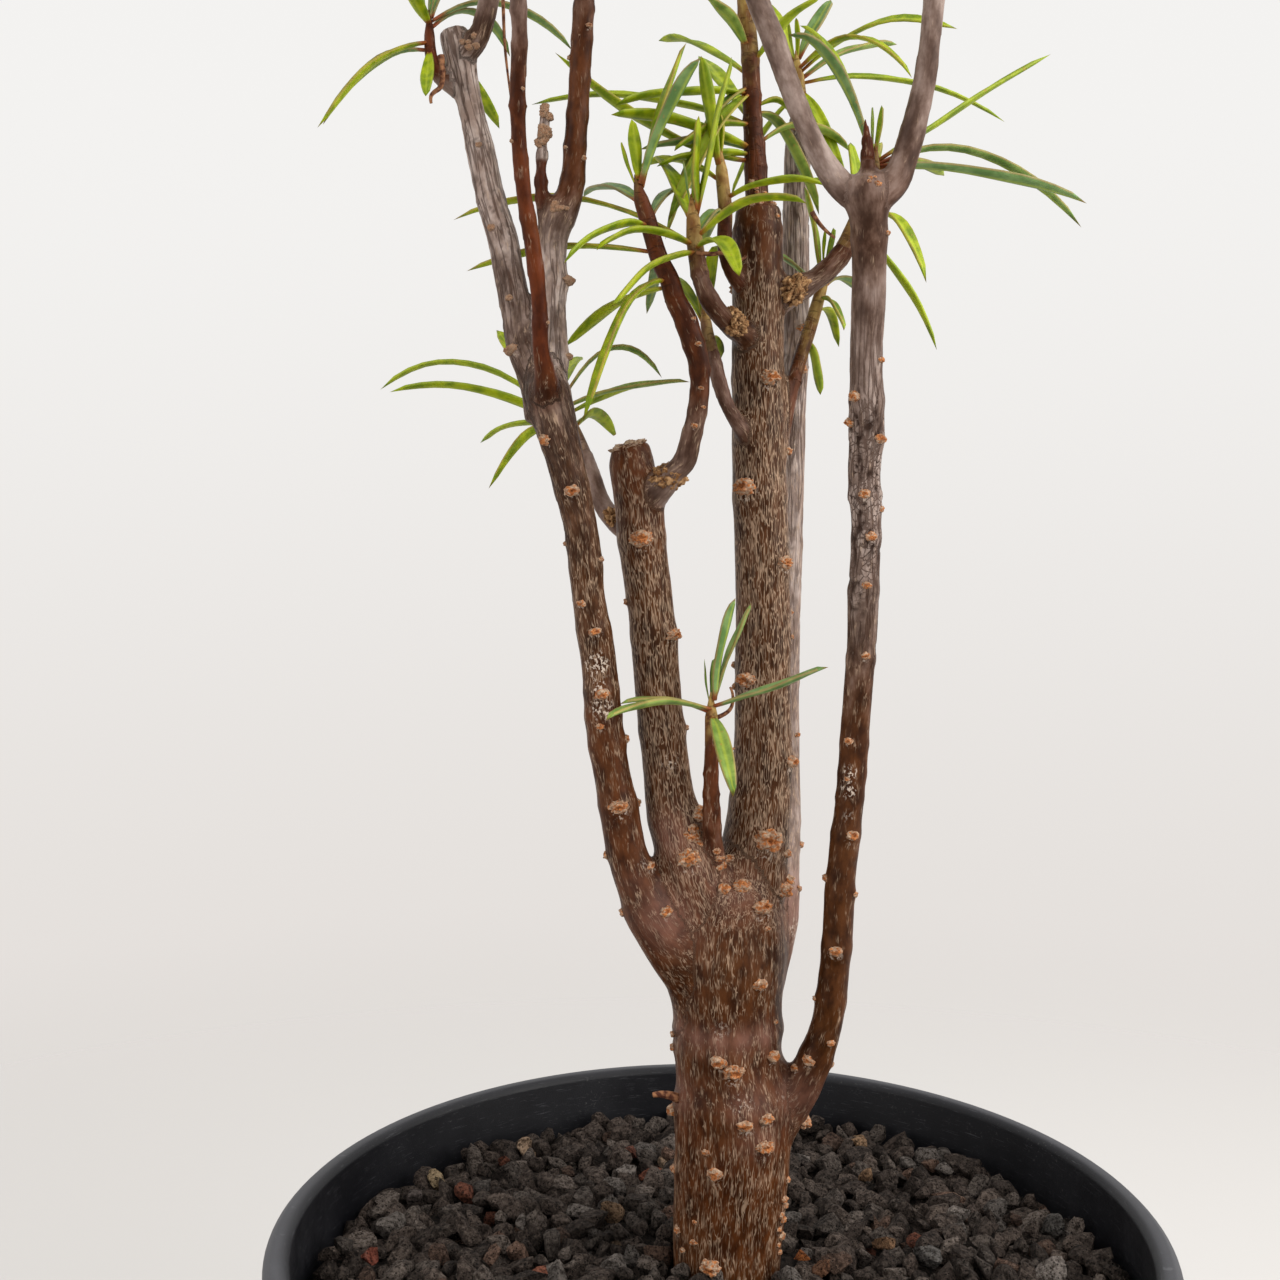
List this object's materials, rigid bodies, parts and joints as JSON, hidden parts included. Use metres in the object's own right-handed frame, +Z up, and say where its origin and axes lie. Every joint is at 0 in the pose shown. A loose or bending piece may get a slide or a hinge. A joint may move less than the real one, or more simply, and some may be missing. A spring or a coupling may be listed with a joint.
{
  "type": "potted balsam spurge",
  "caption": "Old branching balsam spurge shrub with a thick scarred trunk and narrow green leaves, in a round black plastic pot topped with dark lava gravel.",
  "frame": {"origin": "centre of the pot on the surface it stands on", "axes": "+Z up the plant, -Y towards the side the picture was taken from, +X to the right in it"},
  "size_m": [0.152, 0.152, 0.3715],
  "materials": {
    "pot_plastic": "matte with fine scratches",
    "soil": "moist potting mix",
    "lava": "rough porous crushed lava",
    "bark": "dry bark, silvery-flecked, with corky scars",
    "leaf": "fleshy, slightly waxy, with pale edges"
  },
  "bodies": {
    "root": {"pot": "pot_plastic", "potting_mix": "soil", "lava_gravel": "lava", "woody_stems": "bark", "leafy_right_arm_left": "leaf", "leafy_right_arm_right": "leaf", "leafy_fork_shoot": "leaf", "leafy_far_left_side": "leaf", "leafy_far_left_shoot": "leaf", "leafy_left_centre": "leaf", "leafy_front_left": "leaf", "leafy_hidden_left": "leaf", "leafy_stump_shoot": "leaf", "leafy_centre_left": "leaf", "leafy_centre_low": "leaf", "leafy_centre_back": "leaf", "leafy_main_tip": "leaf", "leafy_back_side": "leaf", "leafy_right_side": "leaf", "leafy_right_low": "leaf", "leafy_crotch_shoot": "leaf"}
  },
  "joints": []
}
